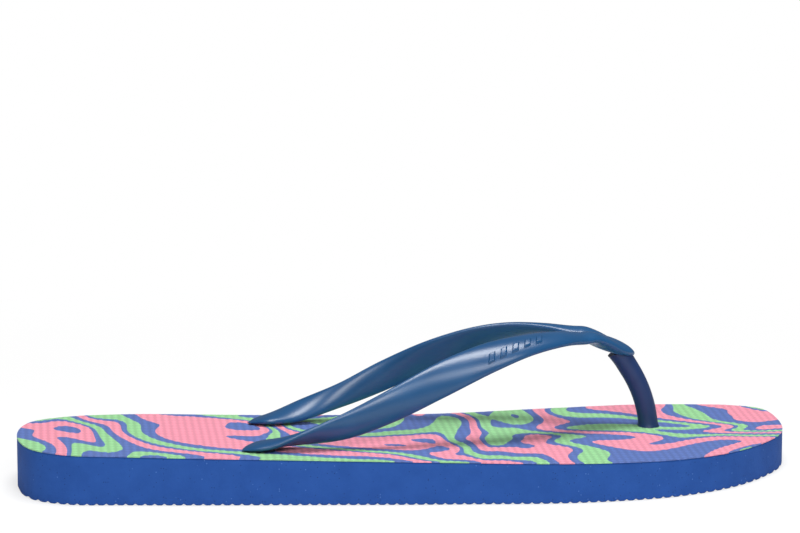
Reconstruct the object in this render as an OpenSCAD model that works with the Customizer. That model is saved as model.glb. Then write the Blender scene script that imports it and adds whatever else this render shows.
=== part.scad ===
// Thong sandal for a right foot. A foam wedge sole carries a thin printed footbed, and
// a moulded strap straddles the foot: two arms that meet over the toes, a toe post
// below the place where they meet, and three plugs that hold the moulding in stepped
// holes in the sole. Sole and footbed are parted across the ball, where they bend.
// +X runs from the heel to the toe, +Y towards the big toe, +Z up, and the origin lies
// on the ground under the middle of the sole. All sizes are in millimetres.

/* [Sole] */
// Length from the heel to the toe
sole_length = 258; // [225:1:290]
// Width across the ball of the foot
ball_width = 88; // [78:1:98]
// Width across the waist, in front of the heel
waist_width = 66; // [60:1:76]
// Width across the heel
heel_width = 63; // [55:1:72]
// Height of the footbed at the heel
heel_height = 17.2; // [15:0.2:22]
// Height of the footbed at the toe
toe_height = 12; // [10.6:0.2:16]
// Thickness of the printed footbed layer
print_thickness = 0.5; // [0.3:0.1:1]
// Distance from the toe back to the line where the sole bends
flex_from_toe = 90; // [80:1:98]
// Gap between the two halves at the bend line
flex_gap = 0.3; // [0.2:0.1:0.6]

/* [Tread] */
// Distance from one cross rib of the tread to the next
rib_pitch = 3.1; // [2.5:0.1:6]
// Width of a groove between two ribs
groove_width = 1.2; // [0.8:0.1:2]
// Depth of a groove
groove_depth = 0.5; // [0.3:0.1:1]

/* [Plugs] */
// Distance from the toe back to the toe plug
toe_plug_from_toe = 46.4; // [40:0.2:54]
// Distance of the toe plug from the middle line, towards the big toe
toe_plug_side = 10; // [6:1:14]
// Distance from the heel to the plug on the little toe's side
outer_plug_from_heel = 80; // [70:1:92]
// Distance from the heel to the plug on the big toe's side
inner_plug_from_heel = 84; // [70:1:92]
// Distance of the outer plug's centre from the edge of the sole
outer_plug_inset = 11.5; // [10:0.5:14]
// Distance of the inner plug's centre from the edge of the sole
inner_plug_inset = 14; // [10:0.5:16]
// Diameter of a plug's neck
neck_d = 6.4; // [5:0.1:8]
// Diameter of a plug's flange
flange_d = 16; // [13:0.5:18]
// Thickness of a plug's flange
flange_thickness = 3; // [2:0.1:4]
// How far a flange sits above the ground
flange_recess = 1.6; // [1:0.1:2.4]
// Clearance round a plug in its hole
plug_clearance = 0.1; // [0.05:0.05:0.3]

/* [Strap] */
// Height of the strap's middle line above the footbed at the fork
strap_height = 31.2; // [27:0.5:38]
// Width of an arm where it is widest
arm_width = 13; // [10:0.5:16]
// Thickness of an arm at its edges
arm_thickness = 3; // [2.4:0.1:4]
// Distance from the toe plug back to the fork where the arms part
fork_from_post = 24.4; // [22:0.2:28]
// Distance from the toe plug back to the tip of the strap's nose
nose_from_post = 5; // [4.2:0.1:6.5]
// Gap between the strap and what it lies on
strap_gap = 0.3; // [0.2:0.1:0.5]

/* [Toe post] */
// Diameter of the post at its foot
post_d = 6.8; // [5:0.1:8]
// Diameter of the post under the strap
post_top_d = 7.4; // [6:0.1:9.6]
// Radius of the post's bend
post_bend_r = 24; // [18:1:32]
// How far the post leans back at its top, in degrees
post_lean = 28.5; // [20:1:34]
// Gap between the post's foot and the footbed
foot_gap = 0.3; // [0.2:0.1:0.5]

/* [Hidden] */
foam_blue = "#2a56a0";
print_blue = "#6a80be";
strap_blue = "#2f6495";
post_blue = "#27457a";
curve_steps = 6;
strap_steps = 4;
section_points = 16;
round_facets = 64;
heel_x = -sole_length / 2;
toe_x = sole_length / 2;
flex_x = toe_x - flex_from_toe;
toe_plug_x = toe_x - toe_plug_from_toe;
outer_plug_x = heel_x + outer_plug_from_heel;
inner_plug_x = heel_x + inner_plug_from_heel;

// Stations along the sole: share of the length, half width towards the little toe, and
// half width towards the big toe
stations = [
    [0.018, 0.33 * heel_width, 0.30 * heel_width],
    [0.060, 0.46 * heel_width, 0.42 * heel_width],
    [0.140, 0.51 * heel_width, 0.485 * heel_width],
    [0.350, 0.57 * waist_width, 0.43 * waist_width],
    [0.550, 0.478 * ball_width, 0.342 * ball_width],
    [0.700, 0.500 * ball_width, 0.430 * ball_width],
    [0.820, 0.448 * ball_width, 0.494 * ball_width],
    [0.900, 0.330 * ball_width, 0.500 * ball_width],
    [0.957, 0.160 * ball_width, 0.478 * ball_width],
    [0.990, -0.010 * ball_width, 0.420 * ball_width],
];
heel_middle = -0.015 * heel_width;
toe_middle = 0.24 * ball_width;

// Footbed height above the ground at a given x
function footbed_z(x) = heel_height + (toe_height - heel_height) * (x - heel_x) / sole_length;

// Point at share u between p1 and p2 on the smooth curve that also looks at p0 and p3
function curve_point(p0, p1, p2, p3, u) = let(
    d1 = sqrt(norm(p1 - p0)),
    d2 = sqrt(norm(p2 - p1)),
    d3 = sqrt(norm(p3 - p2)),
    leave = ((p1 - p0) / d1 - (p2 - p0) / (d1 + d2) + (p2 - p1) / d2) * d2,
    arrive = ((p2 - p1) / d2 - (p3 - p1) / (d2 + d3) + (p3 - p2) / d3) * d2)
    (2 * u ^ 3 - 3 * u ^ 2 + 1) * p1 + (u ^ 3 - 2 * u ^ 2 + u) * leave
    + (3 * u ^ 2 - 2 * u ^ 3) * p2 + (u ^ 3 - u ^ 2) * arrive;

// Closed smooth curve through a ring of points
function closed_curve(p, steps) = let(n = len(p)) [
    for (i = [0 : n - 1], j = [0 : steps - 1])
        curve_point(p[(i + n - 1) % n], p[i], p[(i + 1) % n], p[(i + 2) % n], j / steps)];

// Open smooth curve through a row of points, which runs straight on at both ends
function open_curve(p, steps) = let(
    n = len(p),
    q = concat([2 * p[0] - p[1]], p, [2 * p[n - 1] - p[n - 2]]))
    concat([for (i = [0 : n - 2], j = [0 : steps - 1])
        curve_point(q[i], q[i + 1], q[i + 2], q[i + 3], j / steps)], [p[n - 1]]);

// The sole's outline, from the heel round the little toe's side and back
sole_outline = closed_curve(concat(
    [[heel_x, heel_middle]],
    [for (s = stations) [heel_x + s[0] * sole_length, -s[1]]],
    [[toe_x, toe_middle]],
    [for (i = [len(stations) - 1 : -1 : 0])
        [heel_x + stations[i][0] * sole_length, stations[i][2]]]), curve_steps);

// Half width of the sole at a given x, on side -1 for the little toe or 1 for the big toe
function half_width(x, side) = lookup((x - heel_x) / sole_length,
    [for (s = stations) [s[0], side < 0 ? s[1] : s[2]]]);

outer_plug_y = outer_plug_inset - half_width(outer_plug_x, -1);
inner_plug_y = half_width(inner_plug_x, 1) - inner_plug_inset;

// Side view of the sole between two values of x, with the tread's grooves cut in it
module sole_side(from_x, to_x) {
    first = ceil((from_x - rib_pitch / 2) / rib_pitch + 0.2);
    last = floor((to_x - rib_pitch / 2) / rib_pitch - 0.2);
    grooves = [for (i = [last : -1 : first], p = [
        [1, 0], [0.4, groove_depth], [-0.4, groove_depth], [-1, 0]])
        [(i + 0.5) * rib_pitch + p[0] * groove_width / 2, p[1]]];
    polygon(concat([[from_x, 0], [from_x, footbed_z(from_x) - print_thickness],
        [to_x, footbed_z(to_x) - print_thickness], [to_x, 0]], grooves));
}

// Side view of the printed layer between two values of x
module print_side(from_x, to_x) {
    polygon([[from_x, footbed_z(from_x) - print_thickness], [from_x, footbed_z(from_x)],
        [to_x, footbed_z(to_x)], [to_x, footbed_z(to_x) - print_thickness]]);
}

// A side view drawn out across the sole and trimmed to its outline
module within_outline() {
    intersection() {
        linear_extrude(heel_height + toe_height) polygon(sole_outline);
        rotate([90, 0, 0]) linear_extrude(2 * ball_width, center = true) children();
    }
}

// Stepped hole for one plug: a bore for the neck, and a wider one below for the flange
module plug_hole(x, y) {
    translate([x, y, -1])
        cylinder(h = heel_height + toe_height, d = neck_d + 2 * plug_clearance, $fn = round_facets);
    translate([x, y, -1])
        cylinder(h = 1 + flange_recess + flange_thickness + plug_clearance,
            d = flange_d + 2 * plug_clearance, $fn = round_facets);
}

module sole_back() {
    color(foam_blue) difference() {
        within_outline() sole_side(heel_x - 1, flex_x - flex_gap / 2);
        plug_hole(outer_plug_x, outer_plug_y);
        plug_hole(inner_plug_x, inner_plug_y);
    }
}

module sole_front() {
    color(foam_blue) difference() {
        within_outline() sole_side(flex_x + flex_gap / 2, toe_x + 1);
        plug_hole(toe_plug_x, toe_plug_side);
    }
}

module footbed_print_back() {
    color(print_blue) difference() {
        within_outline() print_side(heel_x - 1, flex_x - flex_gap / 2);
        plug_hole(outer_plug_x, outer_plug_y);
        plug_hole(inner_plug_x, inner_plug_y);
    }
}

module footbed_print_front() {
    color(print_blue) difference() {
        within_outline() print_side(flex_x + flex_gap / 2, toe_x + 1);
        plug_hole(toe_plug_x, toe_plug_side);
    }
}

// Plug: a flange with a rounded rim, and a neck that ends level with the footbed
module plug(x, y) {
    rim = flange_thickness / 3;
    translate([x, y, 0]) rotate_extrude($fn = round_facets) polygon([
        [0, flange_recess], [flange_d / 2 - rim, flange_recess],
        [flange_d / 2, flange_recess + rim],
        [flange_d / 2, flange_recess + flange_thickness],
        [neck_d / 2, flange_recess + flange_thickness],
        [neck_d / 2, footbed_z(x) - 0.1], [0, footbed_z(x) - 0.1]]);
}

module toe_plug() {
    color(post_blue) plug(toe_plug_x, toe_plug_side);
}

module side_plug_outer() {
    color(strap_blue) plug(outer_plug_x, outer_plug_y);
}

module side_plug_inner() {
    color(strap_blue) plug(inner_plug_x, inner_plug_y);
}

// The strap is one band. It runs from the outer plug up to the nose, fans round the
// fork and runs down to the inner plug.
fork_side = 2.6;
fork = [toe_plug_x - fork_from_post, toe_plug_side - fork_side];
strap_seat = strap_gap + arm_thickness / 2;

// Rows along an arm, from its tail to near the fork: share of the way from the plug to
// the fork, bow out from the straight way, height as a share of the strap's, width,
// thickness and crown as shares of the arm's, twist in degrees, how much further the
// inner arm twists, and how much narrower it is. The twist is half a turn at the tail,
// where the band lies on the footbed, a quarter turn where it stands on edge at the foot's
// side, and none at the fork. Both arms have their inner edges at the same height.
arm_rows = [
    [-0.064, -0.6, 0.000, 0.20, 0.16, 0.0, 180, 0, 0],
    [-0.044, -0.3, 0.000, 0.52, 0.50, 0.0, 180, 0, 0],
    [0.000, 0.0, 0.000, 0.78, 0.95, 0.0, 178, 0, 0],
    [0.095, 2.6, 0.0705, 0.80, 1.00, 0.4, 150, 0, 0.04],
    [0.230, 6.2, 0.206, 0.80, 1.00, 0.8, 108, 0, 0.14],
    [0.365, 9.2, 0.423, 0.90, 1.00, 1.0, 90, 0, 0.07],
    [0.515, 10.2, 0.679, 0.92, 1.00, 1.0, 68, 3, 0],
    [0.665, 11.0, 0.900, 0.89, 1.00, 1.0, 42, 11, 0],
    [0.780, 11.3, 1.012, 0.85, 1.00, 1.0, 23, 18, 0],
    [0.900, 9.2, 1.042, 0.81, 1.00, 1.0, 9, 14, 0],
];
crown = 0.07 * arm_width;

// Rows round the fork: direction in degrees from the middle line, reach as a share of
// the nose's length, drop of the outer edge as a share of the nose's drop, and thickness
// as a share of the arm's
nose_length = fork_from_post - nose_from_post;
nose_drop = 6.8;
fork_r = 0.8;
fan_rows = [[90, 0.54, 0.00, 1.00], [58, 0.50, 0.02, 1.00], [32, 0.62, 0.33, 1.10],
    [13, 0.86, 0.853, 1.25], [0, 1, 1, 1.30]];

// An arm's rows as edge points, thickness and crown, for a plug at x, y on side -1 or 1
function arm(x, y, side) = let(
    way = fork - [x, y],
    out = side * [-way[1], way[0]] / norm(way)) [
    for (r = arm_rows) let(
        middle = [x, y] + r[0] * way + r[1] * out,
        half = (r[3] - (side > 0 ? r[8] : 0)) * arm_width / 2,
        turned = r[6] + (side > 0 ? r[7] : 0),
        across = half * cos(turned),
        rise = half * sin(turned),
        z = footbed_z(middle[0]) + strap_gap + r[4] * arm_thickness / 2
            + r[2] * (strap_height - strap_seat) + r[3] * arm_width / 2 * sin(r[6]) - rise)
        concat(middle - across * out, [z + rise], middle + across * out, [z - rise],
            [r[4] * arm_thickness, r[5] * crown])];

// The rows round the fork, from side -1 to side 1
function fan() = let(
    ahead = [toe_plug_x, toe_plug_side] - fork,
    turn = atan2(ahead[1], ahead[0]),
    z = footbed_z(fork[0]) + strap_height) [
    for (i = [-len(fan_rows) + 1 : len(fan_rows) - 1]) let(
        side = i < 0 ? -1 : 1,
        r = fan_rows[len(fan_rows) - 1 - abs(i)],
        way = [cos(turn + side * r[0]), sin(turn + side * r[0])])
        concat(fork + fork_r * way, [z], fork + r[1] * nose_length * way,
            [z - r[2] * nose_drop], [r[3] * arm_thickness, crown])];

function reversed(list) = [for (i = [len(list) - 1 : -1 : 0]) list[i]];

strap_rows = open_curve(concat(
    arm(outer_plug_x, outer_plug_y, -1), fan(), reversed(arm(inner_plug_x, inner_plug_y, 1))),
    strap_steps);

function inner_edge(r) = [r[0], r[1], r[2]];
function outer_edge(r) = [r[3], r[4], r[5]];

// Section of the band at row i: edge to edge, a rounded lens under and crowned above. A
// power of 1 makes the lens an oval, and a smaller one makes it squarer.
edge_power = 0.85;
function section(i) = let(
    last = len(strap_rows) - 1,
    r = strap_rows[i],
    before = strap_rows[max(i - 1, 0)],
    after = strap_rows[min(i + 1, last)],
    across = outer_edge(r) - inner_edge(r),
    ahead = inner_edge(after) + outer_edge(after) - inner_edge(before) - outer_edge(before),
    up = cross(across, ahead) / norm(cross(across, ahead))) [
    for (k = [0 : section_points - 1]) let(
        a = 360 * (k + 0.5) / section_points,
        bulge = sign(sin(a)) * abs(sin(a)) ^ edge_power * r[6] / 2 + max(sin(a), 0) ^ 2 * r[7])
        inner_edge(r) + across * (1 - cos(a)) / 2 + up * bulge];

// Closed skin over a row of rings, which all have as many points and turn the same way
module skin(rings) {
    n = len(rings[0]);
    last = len(rings) - 1;
    sides = [for (i = [0 : last - 1], k = [0 : n - 1]) let(
        a = i * n + k,
        b = i * n + (k + 1) % n)
        for (f = [[a, b, b + n], [a, b + n, a + n]]) f];
    start = [for (k = [n - 1 : -1 : 0]) k];
    end = [for (k = [0 : n - 1]) last * n + k];
    polyhedron([for (ring = rings, p = ring) p], concat(sides, [start, end]));
}

module strap() {
    color(strap_blue) skin([for (i = [0 : len(strap_rows) - 1]) section(i)]);
}

// The toe post stands on a round foot, bends back, runs straight and widens to a round
// head under the strap. Its line is measured from the middle of the foot.
foot_lean = asin((foot_gap + post_d / 2) / post_bend_r);
post_bend = (post_lean - foot_lean) * PI / 180 * post_bend_r;
// Drop of the nose above the post's head, and the gap between the head and the nose
head_drop = 0.84 * nose_drop;
head_gap = 0.6;
head_rise = strap_height + footbed_z(fork[0]) - footbed_z(toe_plug_x) - head_drop
    - arm_thickness / 2 - head_gap - post_top_d / 2;
post_straight = (head_rise - post_bend_r * sin(post_lean)) / cos(post_lean);
post_facets = 24;

// Point of the post's line at distance s, and how far it leans back there, in degrees
function post_line(s) = let(
    along = min(max(s, 0), post_bend),
    lean = foot_lean + along / post_bend_r * 180 / PI,
    past = s - along)
    [post_bend_r * (cos(lean) - 1) - past * sin(lean), post_bend_r * sin(lean) + past * cos(lean), lean];

// Distance along the post's line and radius there, for each ring from the foot to the head
post_rings = concat(
    [for (a = [75 : -15 : 15]) [-post_d / 2 * sin(a), post_d / 2 * cos(a)]],
    [for (i = [0 : 8]) [post_bend * i / 8, post_d / 2]],
    [for (i = [1 : 6]) [post_bend + post_straight * i / 6,
        post_d / 2 + (post_top_d - post_d) / 2 * (i / 6) ^ 2]],
    [for (a = [15 : 15 : 75]) [post_bend + post_straight + post_top_d / 2 * sin(a),
        post_top_d / 2 * cos(a)]]);

module toe_post() {
    color(post_blue) translate([toe_plug_x, toe_plug_side, footbed_z(toe_plug_x)])
        skin([for (r = post_rings) let(p = post_line(r[0])) [
            for (k = [0 : post_facets - 1]) let(a = 360 * k / post_facets) [
                p[0] + r[1] * cos(a) * cos(p[2]), r[1] * sin(a), p[1] + r[1] * cos(a) * sin(p[2])]]]);
}

sole_back();
sole_front();
footbed_print_back();
footbed_print_front();
strap();
toe_post();
toe_plug();
side_plug_outer();
side_plug_inner();
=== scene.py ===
import bpy
import bmesh
import math
import numpy as np
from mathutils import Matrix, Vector


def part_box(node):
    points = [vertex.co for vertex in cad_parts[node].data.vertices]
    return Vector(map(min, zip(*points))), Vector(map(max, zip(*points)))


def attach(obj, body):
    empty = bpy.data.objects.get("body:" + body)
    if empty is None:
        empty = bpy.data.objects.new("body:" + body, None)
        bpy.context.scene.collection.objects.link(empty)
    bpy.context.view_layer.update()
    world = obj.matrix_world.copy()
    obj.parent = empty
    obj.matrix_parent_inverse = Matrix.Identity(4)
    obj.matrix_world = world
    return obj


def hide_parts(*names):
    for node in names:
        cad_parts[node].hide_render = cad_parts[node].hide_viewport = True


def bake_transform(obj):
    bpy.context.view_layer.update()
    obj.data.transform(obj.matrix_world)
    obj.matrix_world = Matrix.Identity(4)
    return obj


# Thong sandal for a right foot. Shapes are worked out in millimetres, in the frame's own
# axes (+X to the toe, +Y to the big toe, +Z up), and turned to metres when a mesh is made.

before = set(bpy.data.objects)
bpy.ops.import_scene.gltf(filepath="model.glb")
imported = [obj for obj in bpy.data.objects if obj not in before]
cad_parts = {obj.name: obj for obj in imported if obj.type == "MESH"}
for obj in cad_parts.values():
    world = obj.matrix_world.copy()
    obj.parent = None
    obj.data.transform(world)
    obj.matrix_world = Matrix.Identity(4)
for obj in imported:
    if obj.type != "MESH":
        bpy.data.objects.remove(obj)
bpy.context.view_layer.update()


def boxOf(node):
    # lowest and highest corner of a CAD node, in millimetres
    low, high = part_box(node)
    return np.array(low) * 1000, np.array(high) * 1000


def linear(hexColour, alpha=1.0):
    # each sRGB channel over 0.04045 is ((c + 0.055) / 1.055) to the power 2.4, below that c / 12.92
    channels = np.array([int(hexColour[i:i + 2], 16) for i in (1, 3, 5)]) / 255
    straight = np.where(channels > 0.04045, ((channels + 0.055) / 1.055) ** 2.4, channels / 12.92)
    return (*straight.tolist(), alpha)


# meshes

def makeMesh(name, points, faces):
    # points in millimetres, faces as rows of four point numbers
    mesh = bpy.data.meshes.new(name)
    mesh.from_pydata((points * 0.001).tolist(), [], faces.tolist())
    piece = bpy.data.objects.new(name, mesh)
    bpy.context.scene.collection.objects.link(piece)
    return piece


def gridFaces(rows, columns, closed):
    # quads between neighbouring rows, and round to the first column where the grid is closed
    across = columns if closed else columns - 1
    i, j = np.meshgrid(np.arange(rows - 1), np.arange(across), indexing="ij")
    k = (j + 1) % columns
    corners = (i * columns + j, i * columns + k, (i + 1) * columns + k, (i + 1) * columns + j)
    return np.stack([c.ravel() for c in corners], axis=1)


def cleanUp(piece, mergeAt=0.002, sharpAbove=40):
    # merges doubles (in millimetres), drops what has no area, closes open ends, turns faces outwards
    # and marks the edges that fold by more than an angle (in degrees) as sharp
    work = bmesh.new()
    work.from_mesh(piece.data)
    bmesh.ops.remove_doubles(work, verts=work.verts, dist=mergeAt / 1000)
    bmesh.ops.dissolve_degenerate(work, edges=work.edges, dist=1e-6)
    bmesh.ops.holes_fill(work, edges=[e for e in work.edges if e.is_boundary], sides=0)
    bmesh.ops.recalc_face_normals(work, faces=work.faces)
    for face in work.faces:
        face.smooth = True
    for edge in work.edges:
        edge.smooth = not edge.is_manifold or edge.calc_face_angle(0) < math.radians(sharpAbove)
    work.to_mesh(piece.data)
    work.free()
    return piece


def smoothCurve(points, steps, closed):
    # centripetal Catmull-Rom: each span is a cubic whose end slopes come from the square roots
    # of the distances to the neighbouring points; an open curve runs straight on at both ends
    p = np.asarray(points, float)
    if closed:
        p0, p1, p2, p3 = np.roll(p, 1, 0), p, np.roll(p, -1, 0), np.roll(p, -2, 0)
    else:
        q = np.vstack([2 * p[0] - p[1], p, 2 * p[-1] - p[-2]])
        p0, p1, p2, p3 = q[:-3], q[1:-2], q[2:-1], q[3:]
    d1, d2, d3 = (np.sqrt(np.linalg.norm(b - a, axis=1))[:, None]
                  for a, b in ((p0, p1), (p1, p2), (p2, p3)))
    leave = ((p1 - p0) / d1 - (p2 - p0) / (d1 + d2) + (p2 - p1) / d2) * d2
    arrive = ((p2 - p1) / d2 - (p3 - p1) / (d2 + d3) + (p3 - p2) / d3) * d2
    u = (np.arange(steps) / steps)[None, :, None]
    spans = ((2 * u ** 3 - 3 * u ** 2 + 1) * p1[:, None] + (u ** 3 - 2 * u ** 2 + u) * leave[:, None]
             + (3 * u ** 2 - 2 * u ** 3) * p2[:, None] + (u ** 3 - u ** 2) * arrive[:, None])
    line = spans.reshape(-1, p.shape[1])
    return line if closed else np.vstack([line, p[-1]])


# sole

backLow, backHigh = boxOf("sole_back")
frontLow, frontHigh = boxOf("sole_front")
printBackHigh = boxOf("footbed_print_back")[1]
printFrontHigh = boxOf("footbed_print_front")[1]

sole = {
    "heelX": backLow[0],
    "toeX": frontHigh[0],
    "heelWidth": 63.0,
    "waistWidth": 66.0,
    "ballWidth": 88.0,
    "heelHeight": printBackHigh[2],
    "flexX": (backHigh[0] + frontLow[0]) / 2,
    "flexZ": printFrontHigh[2],
    "printThickness": 0.5,
    "ribPitch": 3.1,
    "grooveWidth": 1.1,
    "grooveDepth": 0.5,
    "edgeRadius": 0.7,
    "curveSteps": 60,
    "bendLength": 30.0,     # the foam's bend starts at the flex line and ends this far ahead
}
heelWidth, waistWidth, ballWidth = sole["heelWidth"], sole["waistWidth"], sole["ballWidth"]
sole["length"] = sole["toeX"] - sole["heelX"]
sole["slope"] = (sole["flexZ"] - sole["heelHeight"]) / (sole["flexX"] - sole["heelX"])
# share of the length, half width to the little toe's side, half width to the big toe's side
sole["stations"] = [
    (0.018, 0.33 * heelWidth, 0.30 * heelWidth),
    (0.060, 0.46 * heelWidth, 0.42 * heelWidth),
    (0.140, 0.51 * heelWidth, 0.485 * heelWidth),
    (0.350, 0.57 * waistWidth, 0.43 * waistWidth),
    (0.550, 0.478 * ballWidth, 0.342 * ballWidth),
    (0.700, 0.500 * ballWidth, 0.430 * ballWidth),
    (0.820, 0.448 * ballWidth, 0.494 * ballWidth),
    (0.900, 0.330 * ballWidth, 0.500 * ballWidth),
    (0.957, 0.160 * ballWidth, 0.478 * ballWidth),
    (0.990, -0.010 * ballWidth, 0.420 * ballWidth)]
sole["heelMiddle"] = -0.015 * heelWidth
sole["toeMiddle"] = 0.24 * ballWidth


def footbedZ(x):
    # the wedge falls in a straight line from the heel to the toe
    return sole["heelHeight"] + sole["slope"] * (x - sole["heelX"])


def soleSides():
    # the outline as two lines from heel to toe: x and y of the little toe's side and of the big toe's
    share, outerHalf, innerHalf = np.array(sole["stations"]).T
    x = sole["heelX"] + share * sole["length"]
    outer, inner = np.column_stack([x, -outerHalf]), np.column_stack([x, innerHalf])
    heel, toe = (sole["heelX"], sole["heelMiddle"]), (sole["toeX"], sole["toeMiddle"])
    line = smoothCurve(np.vstack([heel, outer, toe, inner[::-1]]), sole["curveSteps"], closed=True)
    turn = (len(outer) + 1) * sole["curveSteps"]
    return line[:turn + 1], np.vstack([line[turn:], line[:1]])[::-1]


outerLine, innerLine = soleSides()


def sideY(line, x):
    # y of one side of the outline at each x
    order = np.argsort(line[:, 0])
    return np.interp(x, line[order, 0], line[order, 1])


def endRows(reach=16.0, count=44):
    # rows that crowd towards heel and toe as the square of their number, so the blunt ends stay round
    near = reach * (np.arange(count + 1) / count) ** 2
    return np.concatenate([sole["heelX"] + near, sole["toeX"] - near])


def ribbedRows():
    # rows across each groove, and its depth there: a bell curve, which leaves the ribs round
    pitch, half = sole["ribPitch"], sole["grooveWidth"] / 2
    first, last = math.ceil(sole["heelX"] / pitch), math.floor(sole["toeX"] / pitch)
    middles = (np.arange(first, last) + 0.5) * pitch
    around = np.array([-2.0, -1.5, -1.0, -0.6, -0.3, 0.0, 0.3, 0.6, 1.0, 1.5, 2.0]) * half
    rows = np.unique(np.round(np.concatenate([(middles[:, None] + around).ravel(), endRows()]), 4))
    rows = rows[(rows >= sole["heelX"]) & (rows <= sole["toeX"])]
    away = np.abs((rows / pitch) % 1 - 0.5) * pitch
    depth = sole["grooveDepth"] * np.exp(-(away / half) ** 2)
    return rows, depth


def makeSole():
    # a closed ring at each row: grooved underside, rounded lower corner, wall, rounded upper corner
    # and top; a rounded corner is a quarter circle, its inset and rise one less the sine and cosine
    x, depth = ribbedRows()
    left, right = sideY(outerLine, x), sideY(innerLine, x)
    top = footbedZ(x) - sole["printThickness"]
    middle, half = (left + right) / 2, (right - left) / 2
    radius = np.minimum(sole["edgeRadius"], half * 0.5)
    turn = np.radians([0, 30, 60, 90])
    inset = np.concatenate([1 - np.sin(turn), np.zeros(5), 1 - np.cos(turn)])    # in radii
    share = np.concatenate([np.zeros(4), np.linspace(0.15, 0.85, 5), np.ones(4)])    # of the height
    rise = np.concatenate([1 - np.cos(turn), np.zeros(5), np.sin(turn) - 1])    # in radii from there
    y = half[:, None] - radius[:, None] * inset
    z = share * top[:, None] + radius[:, None] * rise
    z[:, :4] += depth[:, None] * np.cos(turn / 2)
    flat = np.linspace(-1, 1, 13)[1:-1]
    bottomY, bottomZ = (half - radius)[:, None] * flat, np.repeat(depth[:, None], len(flat), 1)
    topY, topZ = (half - radius)[:, None] * flat[::-1], np.repeat(top[:, None], len(flat), 1)
    ringY = np.hstack([bottomY, y, topY, -y[:, ::-1]]) + middle[:, None]
    ringZ = np.hstack([bottomZ, z, topZ, z[:, ::-1]])
    points = np.stack([np.repeat(x[:, None], ringY.shape[1], 1), ringY, ringZ], axis=2)
    piece = makeMesh("foam_sole", points.reshape(-1, 3), gridFaces(*ringY.shape, closed=True))
    return cleanUp(piece)


plugs = {
    "nodes": ("toe_plug", "side_plug_outer", "side_plug_inner"),
    "neckWidth": 6.4,
    "flangeThickness": 3.0,
    "clearance": 0.1,
    "around": 96,
}


def cutPlugHoles(piece):
    # a stepped hole for each plug: a wide recess for the flange from below the ground, and a bore for
    # the neck from the ground to above the footbed
    gap = plugs["clearance"]
    for node in plugs["nodes"]:
        low, high = boxOf(node)
        centre = (low + high) / 2
        recess = ((high[0] - low[0]) / 2 + gap, -2, low[2] + plugs["flangeThickness"] + gap)
        bore = (plugs["neckWidth"] / 2 + gap, 0, 30)
        for radius, bottom, top in (recess, bore):
            place = (centre[0] / 1000, centre[1] / 1000, (top + bottom) / 2000)
            bpy.ops.mesh.primitive_cylinder_add(vertices=plugs["around"], radius=radius / 1000,
                                                depth=(top - bottom) / 1000, location=place)
            cutter = bpy.context.object
            cut = piece.modifiers.new("hole", "BOOLEAN")
            cut.operation, cut.object, cut.solver = "DIFFERENCE", cutter, "EXACT"
            bpy.context.view_layer.objects.active = piece
            bpy.ops.object.modifier_apply(modifier=cut.name)
            bpy.data.objects.remove(cutter)
    return piece


foamSole = cutPlugHoles(makeSole())
print("sole", len(foamSole.data.polygons))


# printed footbed

footbed = {
    "grainPitch": 2.4,      # from one raised diamond to the next
    "grainHeight": 0.16,
    "grid": 0.6,            # a quarter of the grain's pitch, so every diamond gets the same points
    "border": 1.6,          # the grain fades out this close to the edge
    "edgeGrain": 0.35,      # share of its height that is left there
    "sink": 0.02,           # how far the underside goes into the foam
    "underSteps": 9,
}


def grain(x, y):
    # raised diamonds: the sum of two cosines, cut off below zero and at a flat top
    turn = 2 * math.pi / footbed["grainPitch"]
    flatTop = 1.3
    return np.clip(np.cos(turn * x) + np.cos(turn * y), 0, flatTop) / flatTop


def makeFootbed():
    # the top is a grid in step with the grain, pulled in to the outline, over a thin wall and a
    # plain underside
    step = footbed["grid"]
    even = np.arange(math.ceil(sole["heelX"] / step), math.floor(sole["toeX"] / step) + 1) * step
    x = np.unique(np.round(np.concatenate([even, endRows()]), 4))
    left, right = sideY(outerLine, x), sideY(innerLine, x)
    reach = math.ceil(max(-left.min(), right.max()) / step) * step
    columns = np.arange(-reach, reach + step / 2, step)
    y = np.clip(columns[None, :], left[:, None], right[:, None])
    rows = np.repeat(x[:, None], len(columns), 1)
    rim = np.minimum(y - left[:, None], right[:, None] - y)
    rim = np.minimum(rim, np.minimum(rows - sole["heelX"], sole["toeX"] - rows))
    fade = np.clip(rim / footbed["border"], footbed["edgeGrain"], 1)
    raised = footbed["grainHeight"] * grain(rows, y) * fade
    top = footbedZ(rows) - footbed["grainHeight"] + raised
    # rings: the top from left to right, then back along the underside in a few wide steps
    under = np.linspace(1, 0, footbed["underSteps"])
    bottom = footbedZ(x) - sole["printThickness"] - footbed["sink"]
    backY = left[:, None] + (right - left)[:, None] * under
    backZ = np.repeat(bottom[:, None], len(under), 1)
    ringY, ringZ = np.hstack([y, backY]), np.hstack([top, backZ])
    points = np.stack([np.repeat(x[:, None], ringY.shape[1], 1), ringY, ringZ], axis=2)
    piece = makeMesh("footbed_print", points.reshape(-1, 3), gridFaces(*ringY.shape, closed=True))
    return cleanUp(piece)


footbedPrint = makeFootbed()
print("footbed", len(footbedPrint.data.polygons))


# strap

def plugPlace(node):
    # x and y of a plug's middle
    low, high = boxOf(node)
    return (low[:2] + high[:2]) / 2


toePlug = plugPlace("toe_plug")

strap = {
    "height": 31.2,         # middle line over the footbed at the fork
    "width": 13.0,
    "thickness": 3.0,
    "crown": 0.88,
    "gap": 0.3,
    "forkFromPost": (24.4, 2.6),
    "forkRadius": 0.8,
    "noseLength": 19.4,
    "noseDrop": 6.8,
    "edgeSharpness": 0.85,  # 1 gives an oval section, 0 a square one
    "rowSteps": 10,
    "around": 44,
    "bendFrom": 12.0,       # the arms' bend starts this far ahead of the tails, and ends here
    "bendTo": 45.0,
}
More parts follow.
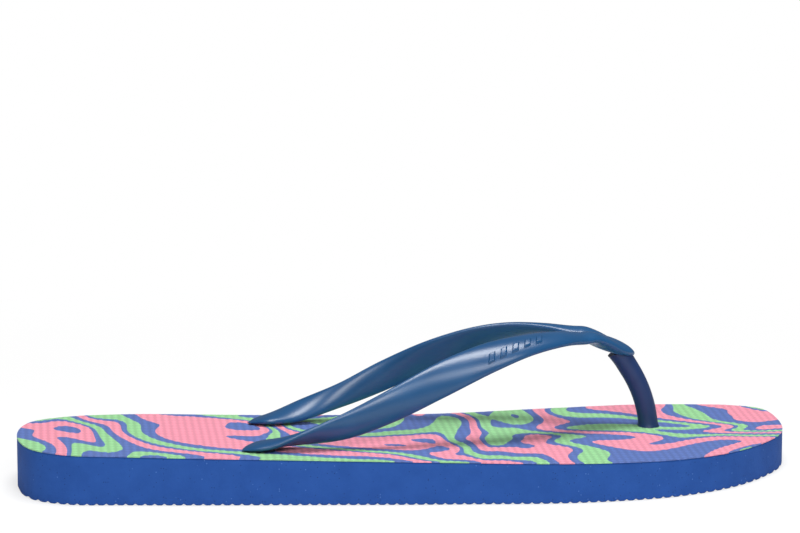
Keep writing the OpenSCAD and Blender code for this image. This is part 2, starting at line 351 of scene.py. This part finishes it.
# Rows along an arm from its tail: share of the way from plug to fork, bow out, share of the height,
# of the width, of the thickness and of the crown, twist in degrees, and for the inner arm the
# degrees that it twists further and the share of the width that it is narrower
armRows = [
    (-0.070, -0.6, 0.000, 0.03, 0.05, 0.0, 180, 0, 0),
    (-0.064, -0.6, 0.000, 0.20, 0.16, 0.0, 180, 0, 0),
    (-0.044, -0.3, 0.000, 0.52, 0.50, 0.0, 180, 0, 0),
    (0.000, 0.0, 0.000, 0.78, 0.95, 0.0, 178, 0, 0),
    (0.095, 2.6, 0.0705, 0.80, 1.00, 0.4, 150, 0, 0.04),
    (0.230, 6.2, 0.206, 0.80, 1.00, 0.8, 108, 0, 0.14),
    (0.365, 9.2, 0.423, 0.90, 1.00, 1.0, 90, 0, 0.07),
    (0.515, 10.2, 0.679, 0.92, 1.00, 1.0, 68, 3, 0),
    (0.665, 11.0, 0.900, 0.89, 1.00, 1.0, 42, 11, 0),
    (0.780, 11.3, 1.012, 0.85, 1.00, 1.0, 23, 18, 0),
    (0.900, 9.2, 1.042, 0.81, 1.00, 1.0, 9, 14, 0),
]
# Rows round the fork: degrees from the middle line, share of the nose's length and of its drop,
# and thickness over the arm's
fanRows = [(90, 0.54, 0.00, 1.00), (58, 0.50, 0.02, 1.00), (32, 0.62, 0.33, 1.10),
           (13, 0.86, 0.853, 1.25), (0, 1.00, 1.00, 1.30)]
fork = toePlug - np.array(strap["forkFromPost"])


def armEdges(plug, side):
    # the middle line is the straight way plus the bow; the two edges lie half a width either side
    # of it, turned by the twist; more twist lowers the outer edge and leaves the inner one's height
    share, bow, height, width, thickness, crown, twist, more, less = np.array(armRows).T
    way = fork - plug
    out = side * np.array([-way[1], way[0]]) / np.linalg.norm(way)
    middle = plug + share[:, None] * way + bow[:, None] * out
    turned = np.radians(twist + (more if side > 0 else 0))
    seat = strap["gap"] + strap["thickness"] / 2
    half = (width - (less if side > 0 else 0)) * strap["width"] / 2
    across, rise = half * np.cos(turned), half * np.sin(turned)
    z = (footbedZ(middle[:, 0]) + strap["gap"] + thickness * strap["thickness"] / 2
         + height * (strap["height"] - seat)
         + width * strap["width"] / 2 * np.sin(np.radians(twist)) - rise)
    inner = np.column_stack([middle - across[:, None] * out, z + rise])
    outer = np.column_stack([middle + across[:, None] * out, z - rise])
    return np.column_stack([inner, outer, thickness * strap["thickness"], crown * strap["crown"]])


def fanEdges():
    # the inner edge turns round the fork on a small radius, the outer one reaches to the nose and
    # drops
    outerHalf = np.array(fanRows) * (-1, 1, 1, 1)
    innerHalf = np.array(fanRows[-2::-1])
    turn, reach, drop, thick = np.vstack([outerHalf, innerHalf]).T
    reach, drop = reach * strap["noseLength"], drop * strap["noseDrop"]
    ahead = toePlug - fork
    angle = math.atan2(ahead[1], ahead[0]) + np.radians(turn)
    way = np.column_stack([np.cos(angle), np.sin(angle)])
    z = np.full(len(turn), footbedZ(fork[0]) + strap["height"])
    crown = np.full(len(turn), strap["crown"])
    return np.column_stack([fork + strap["forkRadius"] * way, z, fork + reach[:, None] * way, z - drop,
                            thick * strap["thickness"], crown])


strapRows = smoothCurve(np.vstack([armEdges(plugPlace("side_plug_outer"), -1), fanEdges(),
                                   armEdges(plugPlace("side_plug_inner"), 1)[::-1]]),
                        strap["rowSteps"], closed=False)
strapAhead = np.gradient((strapRows[:, :3] + strapRows[:, 3:6]) / 2, axis=0)


def onStrap(row, angle, lift=0.0):
    # the skin at a row number and an angle round the section: from the inner edge across the face to
    # the outer edge, raised by half the thickness times a power of the sine, and by the crown above
    spots = np.arange(len(strapRows))
    values = np.stack([np.interp(row, spots, column) for column in strapRows.T], axis=-1)
    ahead = np.stack([np.interp(row, spots, column) for column in strapAhead.T], axis=-1)
    across = values[..., 3:6] - values[..., :3]
    up = np.cross(across, ahead)
    up /= np.linalg.norm(up, axis=-1, keepdims=True)
    s = np.sin(angle)
    bulge = (np.sign(s) * np.abs(s) ** strap["edgeSharpness"] * values[..., 6] / 2
             + np.clip(s, 0, None) ** 2 * values[..., 7] + lift)
    return values[..., :3] + across * ((1 - np.cos(angle)) / 2)[..., None] + up * bulge[..., None]


def makeStrap():
    # one band from the outer tail over the nose to the inner tail, closed at both tips
    angle = 2 * math.pi * (np.arange(strap["around"]) + 0.5) / strap["around"]
    row, turn = np.meshgrid(np.arange(len(strapRows)), angle, indexing="ij")
    points = onStrap(row.astype(float), turn)
    piece = makeMesh("strap_band", points.reshape(-1, 3), gridFaces(*row.shape, closed=True))
    return cleanUp(piece, sharpAbove=60)


strapBand = makeStrap()
print("strap", len(strapBand.data.polygons))


# plain raised tiles on the outer arm

tiles = {
    "count": 5,
    "start": 86.0,          # from the outer tail along the band's middle, in millimetres
    "pitch": 4.3,
    "length": 2.6,
    "across": (0.48, 0.80),  # share of the width, from the inner edge towards the outer one
    "slant": 1.6,
    "height": 0.6,
    "sink": 0.3,            # how far a tile's underside lies below the strap's face
    "rim": 0.2,             # share of the tile that its rounded rim takes on each side
    "points": 20,
}


def makeTiles():
    # each tile is a patch of the strap's face, lifted by a plateau that falls off at its rim, over
    # a second patch just under the skin that closes it
    middle = (strapRows[:, :3] + strapRows[:, 3:6]) / 2
    run = np.concatenate([[0], np.cumsum(np.linalg.norm(np.diff(middle, axis=0), axis=1))])
    n, sink = tiles["points"], tiles["sink"]
    t = np.linspace(0, 1, n)
    rim = np.sin(np.clip(np.minimum(t, 1 - t) / tiles["rim"], 0, 1) * math.pi / 2)
    lift = np.minimum(rim[:, None], rim[None, :]) * (tiles["height"] + sink) - sink
    low, high = tiles["across"]
    points, faces = [], []
    for i in range(tiles["count"]):
        along, share = np.meshgrid(t * tiles["length"], t, indexing="ij")
        place = tiles["start"] + i * tiles["pitch"] + along + tiles["slant"] * (1 - share)
        row = np.interp(place, run, np.arange(len(run)))
        angle = np.arccos(1 - 2 * (low + share * (high - low)))
        patch = np.hstack([onStrap(row, angle, lift), onStrap(row, angle, -sink)[:, ::-1]])
        points.append(patch.reshape(-1, 3))
        faces.append(gridFaces(n, 2 * n, closed=True) + i * 2 * n * n)
    piece = makeMesh("strap_tiles", np.vstack(points), np.vstack(faces))
    return cleanUp(piece, sharpAbove=50)


strapTiles = makeTiles()
print("tiles", len(strapTiles.data.polygons))


# toe post

post = {
    "footLean": 5.0,        # degrees back from upright
    "topLean": 31.5,
    "leanEnds": 0.7,        # share of the length where the top's lean is reached
    "length": 28.4,
    "footWidth": 6.6,
    "topWidth": 7.0,
    "flare": 0.6,           # backwards, over the last part under the strap
    "flareFrom": 0.85,
    "footSpread": 0.45,     # how much wider the foot is at the footbed, and how soon that fades
    "footFade": 0.9,
    "sink": 0.1,
    "bendTo": 9.0,          # the post's bend ends this high above the footbed
    "rows": 40,
    "around": 40,
}


def makePost():
    # the line leans back steadily from the foot and then runs straight; the section is round and
    # widens with a power of the height, its foot spreads where it meets the footbed, and its back
    # flares under the strap
    t = np.linspace(0, 1, post["rows"])
    steady = np.minimum(t / post["leanEnds"], 1)
    lean = np.radians(post["footLean"] + (post["topLean"] - post["footLean"]) * steady)
    step = post["length"] / (post["rows"] - 1)
    x = toePlug[0] - np.concatenate([[0], np.cumsum(np.sin(lean[:-1]))]) * step
    z = footbedZ(toePlug[0]) - post["sink"] + np.concatenate([[0], np.cumsum(np.cos(lean[:-1]))]) * step
    radius = (post["footWidth"] + (post["topWidth"] - post["footWidth"]) * t ** 1.8) / 2
    radius = radius + post["footSpread"] * np.exp(-t * post["length"] / post["footFade"])
    flared = np.clip((t - post["flareFrom"]) / (1 - post["flareFrom"]), 0, 1) ** 2
    back = radius + post["flare"] * flared
    angle = 2 * math.pi * np.arange(post["around"]) / post["around"]
    along = np.where(np.cos(angle) < 0, back[:, None], radius[:, None]) * np.cos(angle)
    tilt = np.clip(t * 6, 0, 1)    # the foot's ring lies flat
    ringX = x[:, None] + along * np.cos(lean)[:, None]
    ringY = toePlug[1] + radius[:, None] * np.sin(angle)
    ringZ = z[:, None] + radius[:, None] * np.cos(angle) * (np.sin(lean) * tilt)[:, None]
    points = np.stack([ringX, ringY, ringZ], axis=2)
    piece = makeMesh("toe_post_body", points.reshape(-1, 3), gridFaces(*ringX.shape, closed=True))
    return cleanUp(piece)


toePostBody = makePost()
print("toe post", len(toePostBody.data.polygons))


# materials

def add(tree, kind, settings=None, links=None):
    # one node: settings are attributes, input values by name or number, or a colour ramp's stops and
    # steps; links feed its inputs
    node = tree.nodes.new(kind)
    for key, value in (settings or {}).items():
        if key == "stops":
            elements = node.color_ramp.elements
            while len(elements) < len(value):
                elements.new(0.5)
            for element, (place, colour) in zip(elements, value):
                element.position, element.color = place, colour
        elif key == "steps":
            node.color_ramp.interpolation = value
        elif isinstance(key, int) or key in node.inputs:
            node.inputs[key].default_value = value
        else:
            setattr(node, key, value)
    for key, source in (links or {}).items():
        tree.links.new(source, node.inputs[key])
    return node


def newMaterial(name):
    # an empty node material, its tree and its output
    material = bpy.data.materials.new(name)
    material.use_nodes = True
    tree = material.node_tree
    tree.nodes.clear()
    output = tree.nodes.new("ShaderNodeOutputMaterial")
    return material, tree, output


foamLook = {
    "dark": "#204d97",
    "light": "#25539f",
    "darkPore": "#17386f",
    "palePore": "#4f78bd",
    "cellsPerMetre": 1300.0,    # one cell is 0.77 mm wide
    "poreWidth": 0.22,      # how far a pore reaches from its cell's middle, in cells
    "poreFrom": 0.86,       # cells whose random number is over this one have a pore
    "paleFrom": 0.82,       # pores whose second random number is over this one are pale
}


def evaFoam():
    # die-cut EVA foam: matt, with a faint mottle, and here and there a cut cell that reads as a dark
    # or pale speck. Real pores are about 0.2 mm wide and are drawn coarser, at 0.35 mm, to show. So
    # is the cut face's roughness, at 0.7 mm. The mottle is about 8 mm wide.
    material, tree, output = newMaterial("eva_foam_cobalt")
    place = add(tree, "ShaderNodeTexCoord").outputs["Object"]
    mottle = add(tree, "ShaderNodeTexNoise", {"Scale": 120.0, "Detail": 4.0, "Roughness": 0.6},
                 {"Vector": place})
    base = add(tree, "ShaderNodeValToRGB",
               {"stops": [(0.35, linear(foamLook["dark"])), (0.65, linear(foamLook["light"]))]},
               {"Fac": mottle.outputs["Fac"]})
    cells = add(tree, "ShaderNodeTexVoronoi", {"Scale": foamLook["cellsPerMetre"], "feature": "F1"},
                {"Vector": place})
    chance = add(tree, "ShaderNodeSeparateColor", links={"Color": cells.outputs["Color"]})
    rare = add(tree, "ShaderNodeMath", {"operation": "GREATER_THAN", 1: foamLook["poreFrom"]},
               {0: chance.outputs["Red"]})
    small = add(tree, "ShaderNodeMath", {"operation": "LESS_THAN", 1: foamLook["poreWidth"]},
                {0: cells.outputs["Distance"]})
    pore = add(tree, "ShaderNodeMath", {"operation": "MULTIPLY"},
               {0: rare.outputs[0], 1: small.outputs[0]})
    pale = add(tree, "ShaderNodeMath", {"operation": "GREATER_THAN", 1: foamLook["paleFrom"]},
               {0: chance.outputs["Green"]})
    tint = add(tree, "ShaderNodeMix", {"data_type": "RGBA", 6: linear(foamLook["darkPore"]),
                                       7: linear(foamLook["palePore"])}, {0: pale.outputs[0]})
    colour = add(tree, "ShaderNodeMix", {"data_type": "RGBA"},
                 {0: pore.outputs[0], 6: base.outputs["Color"], 7: tint.outputs[2]})
    fine = add(tree, "ShaderNodeTexNoise", {"Scale": 1400.0, "Detail": 2.0}, {"Vector": place})
    height = add(tree, "ShaderNodeMath", {"operation": "SUBTRACT"},
                 {0: fine.outputs["Fac"], 1: pore.outputs[0]})
    bump = add(tree, "ShaderNodeBump", {"Strength": 0.25, "Distance": 0.0002},
               {"Height": height.outputs[0]})
    shader = add(tree, "ShaderNodeBsdfPrincipled", {"Roughness": 0.85, "IOR": 1.35},
                 {"Base Color": colour.outputs[2], "Normal": bump.outputs["Normal"]})
    tree.links.new(shader.outputs[0], output.inputs["Surface"])
    return material


inkLook = {
    "blue": "#5f79bd",
    "pink": "#fb9fb4",
    "green": "#9edb9d",
    "shift": (0.31, 0.12, 0.0),     # picks the part of the noise, in metres
    "swirls": ((15.0, 0.12), (34.0, 0.08)),     # scale of each noise, and how far it pushes, in metres
    "lean": 1.6,            # how much steeper the slope is along the sole than across it
    "period": 0.072,        # rise of the slope from one pink band to the next
    "paintedValleyShade": 0.80,         # painted shade: brightness of the colour between the raised diamonds
}


def printedFootbed():
    # printed EVA topsheet: flowing bands of pink and green ink parted by bare blue. The bands are
    # contour lines of a slope that two soft noises push about, 38 mm from one pink band to the next
    # where it isn't pushed. The diamonds' valleys are painted darker, as painted shade, and a fine
    # speckle breaks up the ink: it is drawn about 1 mm wide, which is coarser than the real one, to
    # show.
    material, tree, output = newMaterial("printed_eva_topsheet")
    place = add(tree, "ShaderNodeTexCoord").outputs["Object"]
    moved = add(tree, "ShaderNodeMapping", {"Location": inkLook["shift"]}, {"Vector": place})
    swirl = add(tree, "ShaderNodeVectorMath", {"operation": "MULTIPLY", 1: (1.0, 1.0, 0.0)},
                {0: moved.outputs[0]})
    for scale, push in inkLook["swirls"]:
        noise = add(tree, "ShaderNodeTexNoise", {"Scale": scale, "Detail": 0.0},
                    {"Vector": swirl.outputs[0]})
        step = add(tree, "ShaderNodeVectorMath",
                   {"operation": "MULTIPLY_ADD", 1: (push, push, 0.0), 2: (-push / 2, -push / 2, 0.0)},
                   {0: noise.outputs["Color"]})
        swirl = add(tree, "ShaderNodeVectorMath", {"operation": "ADD"},
                    {0: swirl.outputs[0], 1: step.outputs[0]})
    axes = add(tree, "ShaderNodeSeparateXYZ", links={"Vector": swirl.outputs[0]})
    slope = add(tree, "ShaderNodeMath", {"operation": "MULTIPLY_ADD", 1: inkLook["lean"]},
                {0: axes.outputs["X"], 2: axes.outputs["Y"]})
    turns = add(tree, "ShaderNodeMath", {"operation": "MULTIPLY", 1: 1 / inkLook["period"]},
                {0: slope.outputs[0]})
    band = add(tree, "ShaderNodeMath", {"operation": "FRACT"}, {0: turns.outputs[0]})
    blue, pink, green = (linear(inkLook[ink]) for ink in ("blue", "pink", "green"))
    bands = [(0.0, blue), (0.13, pink), (0.46, blue), (0.60, green), (0.88, blue)]
    inks = add(tree, "ShaderNodeValToRGB", {"stops": bands, "steps": "CONSTANT"},
               {"Fac": band.outputs[0]})
    # painted shade: the colour is darkened in the valleys between the raised diamonds
    spots = add(tree, "ShaderNodeSeparateXYZ", links={"Vector": place})
    turn = 2 * math.pi / (footbed["grainPitch"] / 1000)
    waves = []
    for axis in ("X", "Y"):
        phase = add(tree, "ShaderNodeMath", {"operation": "MULTIPLY", 1: turn},
                    {0: spots.outputs[axis]})
        waves.append(add(tree, "ShaderNodeMath", {"operation": "COSINE"}, {0: phase.outputs[0]}))
    raised = add(tree, "ShaderNodeMath", {"operation": "ADD", "use_clamp": True},
                 {0: waves[0].outputs[0], 1: waves[1].outputs[0]})
    paintedValleyShade = add(tree, "ShaderNodeMapRange", {"From Min": 0.0, "From Max": 0.6,
                                              "To Min": inkLook["paintedValleyShade"], "To Max": 1.0},
                 {"Value": raised.outputs[0]})
    speck = add(tree, "ShaderNodeTexNoise", {"Scale": 900.0, "Detail": 3.0}, {"Vector": place})
    shade = add(tree, "ShaderNodeMapRange",
                {"From Min": 0.3, "From Max": 0.7, "To Min": 0.95, "To Max": 1.04},
                {"Value": speck.outputs["Fac"]})
    both = add(tree, "ShaderNodeMath", {"operation": "MULTIPLY"},
               {0: paintedValleyShade.outputs[0], 1: shade.outputs[0]})
    colour = add(tree, "ShaderNodeMix", {"data_type": "RGBA", "blend_type": "MULTIPLY", 0: 1.0},
                 {6: inks.outputs["Color"], 7: both.outputs[0]})
    bump = add(tree, "ShaderNodeBump", {"Strength": 0.3, "Distance": 0.0001},
               {"Height": speck.outputs["Fac"]})
    shader = add(tree, "ShaderNodeBsdfPrincipled", {"Roughness": 0.6, "IOR": 1.46},
                 {"Base Color": colour.outputs[2], "Normal": bump.outputs["Normal"]})
    tree.links.new(shader.outputs[0], output.inputs["Surface"])
    return material


def mouldedPvc(name, dark, light, roughness):
    # injection-moulded soft PVC: even colour with a very faint cloudiness, and a satin face from the
    # mould's fine blasted texture, so a lamp gives a broad soft streak. The texture's grit is about
    # 0.1 mm and is drawn coarser, at 0.45 mm, to show.
    material, tree, output = newMaterial(name)
    place = add(tree, "ShaderNodeTexCoord").outputs["Object"]
    cloud = add(tree, "ShaderNodeTexNoise", {"Scale": 60.0, "Detail": 3.0}, {"Vector": place})
    colour = add(tree, "ShaderNodeValToRGB", {"stops": [(0.3, linear(dark)), (0.7, linear(light))]},
                 {"Fac": cloud.outputs["Fac"]})
    fine = add(tree, "ShaderNodeTexNoise", {"Scale": 2200.0, "Detail": 2.0}, {"Vector": place})
    bump = add(tree, "ShaderNodeBump", {"Strength": 0.12, "Distance": 0.0001},
               {"Height": fine.outputs["Fac"]})
    gloss = add(tree, "ShaderNodeMapRange",
                {"From Min": 0.3, "From Max": 0.7,
                 "To Min": roughness - 0.03, "To Max": roughness + 0.03},
                {"Value": cloud.outputs["Fac"]})
    shader = add(tree, "ShaderNodeBsdfPrincipled", {"IOR": 1.53},
                 {"Base Color": colour.outputs["Color"], "Normal": bump.outputs["Normal"],
                  "Roughness": gloss.outputs[0]})
    tree.links.new(shader.outputs[0], output.inputs["Surface"])
    return material


foam = evaFoam()
topsheet = printedFootbed()
strapPvc = mouldedPvc("moulded_pvc_steel_blue", "#124876", "#165080", 0.32)
# the post is the strap's own PVC painted darker: partly painted shade, partly a navier hue
postPvcNavyAndShade = mouldedPvc("moulded_pvc_navy_and_painted_shade", "#0f2b59", "#133264", 0.42)


def finish(piece, material, slotName, *nodes):
    # gives a new piece its material in a slot of its own, and hides the CAD nodes that it replaces
    piece.data.materials.clear()
    piece.data.materials.append(material)
    if nodes:
        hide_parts(*nodes)


finish(foamSole, foam, "foam", "sole_back", "sole_front")
finish(footbedPrint, topsheet, "print", "footbed_print_back", "footbed_print_front")
finish(strapBand, strapPvc, "strap", "strap")
finish(strapTiles, strapPvc, "strap")
finish(toePostBody, postPvcNavyAndShade, "post", "toe_post")
plugPvc = {"toe_plug": postPvcNavyAndShade, "side_plug_outer": strapPvc, "side_plug_inner": strapPvc}
for node, material in plugPvc.items():
    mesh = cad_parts[node].data
    mesh.materials.clear()
    mesh.materials.append(material)
print("materials")


# transforms baked into the meshes, and the tiles joined to the strap's body


for piece in (foamSole, footbedPrint):
    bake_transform(piece)
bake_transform(strapBand)
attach(strapTiles, "strap")
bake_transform(toePostBody)


# stage, light and camera

stage = {
    "target": (-0.00265, -0.0009, 0.0709),      # in metres, like all that follows
    "distance": 1.2,
    "azimuth": -6.0,
    "elevation": 10.2,
    "lens": 164.2,
    "floorSize": 6.0,
    "dimWithin": 0.12,      # the floor's own glow is least up to here, and whole from brightFrom on
    "brightFrom": 0.35,
    "leastGlow": 0.7,
    "fill": 0.20,           # how strongly the white room lights the sandal
    "lampSize": (0.5, 0.35),
    "lamps": {"front": ((0.05, -0.95, 0.68), 6), "top": ((0.05, -0.06, 1.05), 9)},
    "lampsAim": (0, 0, 0.02),
}


def makeFloor():
    # a square of matt white board. Seen straight it is a mix of board and its own white glow: the
    # glow's share rises smoothly with the distance from the middle, so only the shadow is dimmer.
    corners = np.array([(-1, -1, 0), (1, -1, 0), (1, 1, 0), (-1, 1, 0)]) * stage["floorSize"] * 500
    floor = makeMesh("floor", corners, np.array([[0, 1, 2, 3]]))
    material, tree, output = newMaterial("white_board")
    rays = add(tree, "ShaderNodeLightPath")
    place = add(tree, "ShaderNodeTexCoord").outputs["Object"]
    away = add(tree, "ShaderNodeVectorMath", {"operation": "LENGTH"}, {0: place})
    share = add(tree, "ShaderNodeMapRange",
                {"From Min": stage["dimWithin"], "From Max": stage["brightFrom"],
                 "To Min": stage["leastGlow"], "To Max": 1.0, "interpolation_type": "SMOOTHSTEP"},
                {"Value": away.outputs["Value"]})
    seen = add(tree, "ShaderNodeMath", {"operation": "MULTIPLY"},
               {0: rays.outputs["Is Camera Ray"], 1: share.outputs[0]})
    board = add(tree, "ShaderNodeBsdfDiffuse", {"Color": linear("#f7f7f7")})
    glow = add(tree, "ShaderNodeEmission", {"Color": (1, 1, 1, 1), "Strength": 1.0})
    both = add(tree, "ShaderNodeMixShader",
               links={0: seen.outputs[0], 1: board.outputs[0], 2: glow.outputs[0]})
    tree.links.new(both.outputs[0], output.inputs["Surface"])
    floor.data.materials.append(material)


def makeLamp(name, place, watts):
    # a soft box whose face is turned from its place to the middle of the sandal
    light = bpy.data.lights.new(name, "AREA")
    light.shape, light.energy = "RECTANGLE", watts
    light.size, light.size_y = stage["lampSize"]
    lamp = bpy.data.objects.new(name, light)
    bpy.context.scene.collection.objects.link(lamp)
    lamp.location = place
    aim = Vector(stage["lampsAim"]) - Vector(place)
    lamp.rotation_euler = aim.to_track_quat("-Z", "Y").to_euler()


def makeWorld():
    # a white room: it is seen as full white, and lights the sandal with a share of that
    world = bpy.data.worlds.new("studio")
    bpy.context.scene.world = world
    world.use_nodes = True
    tree = world.node_tree
    tree.nodes.clear()
    rays = add(tree, "ShaderNodeLightPath")
    fill = add(tree, "ShaderNodeBackground", {"Color": (1, 1, 1, 1), "Strength": stage["fill"]})
    white = add(tree, "ShaderNodeBackground", {"Color": (1, 1, 1, 1), "Strength": 1.0})
    both = add(tree, "ShaderNodeMixShader", links={0: rays.outputs["Is Camera Ray"], 1: fill.outputs[0],
                                                   2: white.outputs[0]})
    output = tree.nodes.new("ShaderNodeOutputWorld")
    tree.links.new(both.outputs[0], output.inputs["Surface"])


def makeCamera():
    # the camera stands a distance from its target, turned by the azimuth and raised by the elevation
    camera = bpy.data.objects.new("camera", bpy.data.cameras.new("camera"))
    bpy.context.scene.collection.objects.link(camera)
    a, e = math.radians(stage["azimuth"]), math.radians(stage["elevation"])
    back = Vector((math.sin(a) * math.cos(e), -math.cos(a) * math.cos(e), math.sin(e)))
    camera.location = Vector(stage["target"]) + back * stage["distance"]
    camera.rotation_euler = back.to_track_quat("Z", "Y").to_euler()
    camera.data.lens = stage["lens"]
    camera.data.sensor_width = 36
    camera.data.clip_start, camera.data.clip_end = 0.01, 50
    bpy.context.scene.camera = camera


makeFloor()
makeWorld()
for name, (place, watts) in stage["lamps"].items():
    makeLamp(name, place, watts)
makeCamera()
bpy.context.scene.view_settings.view_transform = "Standard"
print("stage")

bpy.context.view_layer.update()
